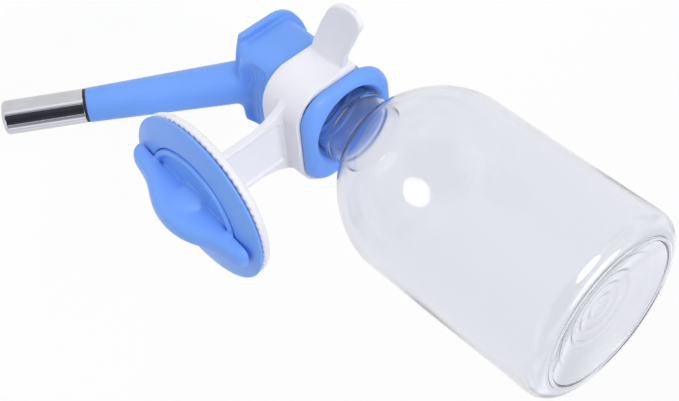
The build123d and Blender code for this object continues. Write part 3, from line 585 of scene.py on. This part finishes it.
bottle_blown = blown_bottle()
paint(bottle_blown, clear)
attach(bottle_blown, "bottle")
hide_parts("bottle")

# the valve's spring, which the ball squeezes from its end when pushed in; here it stands as
# modelled, in a mesh of its own
coil = copied("return_spring", nodes["ball_spring"])
for face in coil.data.polygons:
    face.use_smooth = True
paint(coil, spring_steel)
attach(coil, "head")
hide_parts("ball_spring")
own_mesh(coil)

for name, material in (
    ("bottle_gasket", gasket_rubber),
    ("spout_o_ring", black_rubber),
    ("nozzle_sleeve", sleeve_steel),
    ("valve_seat", black_rubber),
    ("nozzle_ball", ball_steel),
    ("spring_retainer", white),
    ("clamp_stud", white),
):
    paint(nodes[name], material)

# ---------------------------------------------------------------- floor, light, in metres

FLOOR_GAP = 0.004
FLOOR_HALF = 6.0
FLOOR_OWN_LIGHT = 0.92


def floor():
    """A wide pale plane just under the lowest point of the object, with almost no shadow."""
    half, low = FLOOR_HALF, cad_low.z - FLOOR_GAP
    mesh = bpy.data.meshes.new("floor")
    corners = [(-half, -half, low), (half, -half, low), (half, half, low), (-half, half, low)]
    mesh.from_pydata(corners, [], [(0, 1, 2, 3)])
    piece = bpy.data.objects.new("floor", mesh)
    scene.collection.objects.link(piece)
    made, tree, shader = new_material("pale_floor")
    shader.inputs["Base Color"].default_value = (0.95, 0.95, 0.96, 1)
    shader.inputs["Roughness"].default_value = 0.9
    shader.inputs["Emission Strength"].default_value = 0.0
    path = add(tree, "ShaderNodeLightPath")
    share = add(tree, "ShaderNodeMapRange")
    share.inputs["To Min"].default_value = FLOOR_OWN_LIGHT
    share.inputs["To Max"].default_value = 0.0
    tree.links.new(path.outputs["Is Diffuse Ray"], share.inputs["Value"])
    lit = add(tree, "ShaderNodeEmission")
    either = add(tree, "ShaderNodeMixShader")
    tree.links.new(share.outputs["Result"], either.inputs["Fac"])
    tree.links.new(shader.outputs["BSDF"], either.inputs[1])
    tree.links.new(lit.outputs["Emission"], either.inputs[2])
    tree.links.new(either.outputs["Shader"], tree.nodes["Material Output"].inputs["Surface"])
    mesh.materials.append(made)


floor()


def area_light(name, place, aim, size, power):
    data = bpy.data.lights.new(name, "AREA")
    data.shape = "DISK"
    data.size = size
    data.energy = power
    lamp = bpy.data.objects.new(name, data)
    scene.collection.objects.link(lamp)
    lamp.location = place
    lamp.rotation_mode = "QUATERNION"
    lamp.rotation_quaternion = (aim - place).to_track_quat("-Z", "Y")


middle = (cad_low + cad_high) / 2
area_light("key", middle + Vector((-0.85, -0.05, 0.85)), middle, 0.65, 7.0)
area_light("top", middle + Vector((0.2, 0.35, 1.2)), middle, 0.7, 4.0)
area_light("front", middle + Vector((-0.2, -1.2, 0.3)), middle, 0.8, 1.2)

# direction of the gap between the studio's lit panels, and how brightly the room lights surfaces
DARK_GAP = Vector((-0.38, -0.64, 0.67))
AMBIENT = 0.42


def studio_world():
    """Pale all round. A shiny surface sees bright and dim panels too, and one dark gap."""
    world = bpy.data.worlds.new("studio")
    world.use_nodes = True
    scene.world = world
    tree = world.node_tree
    background = tree.nodes["Background"]
    where = add(tree, "ShaderNodeTexCoord")
    gap = add(tree, "ShaderNodeVectorMath", operation="DOT_PRODUCT")
    gap.inputs[1].default_value = DARK_GAP.normalized()
    tree.links.new(where.outputs["Generated"], gap.inputs[0])
    shade = add(tree, "ShaderNodeValToRGB")
    ramp = shade.color_ramp
    ramp.elements[0].position = 0.772
    ramp.elements[0].color = (0.76, 0.77, 0.81, 1)
    ramp.elements[1].position = 0.790
    ramp.elements[1].color = (0.04, 0.04, 0.07, 1)
    for place, level in ((0.805, 0.04), (0.812, 1.0), (0.830, 1.0), (0.842, 0.05), (1.0, 0.03)):
        stop = ramp.elements.new(place)
        stop.color = (level, level, min(1.0, level * 1.3), 1)
    tree.links.new(gap.outputs["Value"], shade.inputs["Fac"])
    path = add(tree, "ShaderNodeLightPath")
    cards = add(tree, "ShaderNodeTexNoise")
    cards.inputs["Scale"].default_value = 2.4
    cards.inputs["Detail"].default_value = 1.5
    tree.links.new(where.outputs["Generated"], cards.inputs["Vector"])
    glow = spread(tree, cards, 0.55, 1.75, 0.35, 0.65)
    room = add(tree, "ShaderNodeMixRGB", blend_type="MULTIPLY")
    room.inputs["Fac"].default_value = 1.0
    tree.links.new(shade.outputs["Color"], room.inputs["Color1"])
    tree.links.new(glow.outputs["Result"], room.inputs["Color2"])
    seen = add(tree, "ShaderNodeMixRGB")
    seen.inputs["Color1"].default_value = (1, 1, 1, 1)
    tree.links.new(path.outputs["Is Glossy Ray"], seen.inputs["Fac"])
    tree.links.new(room.outputs["Color"], seen.inputs["Color2"])
    tree.links.new(seen.outputs["Color"], background.inputs["Color"])
    strength = add(tree, "ShaderNodeMapRange")
    strength.inputs["To Min"].default_value = 1.0
    strength.inputs["To Max"].default_value = AMBIENT
    tree.links.new(path.outputs["Is Diffuse Ray"], strength.inputs["Value"])
    tree.links.new(strength.outputs["Result"], background.inputs["Strength"])


studio_world()
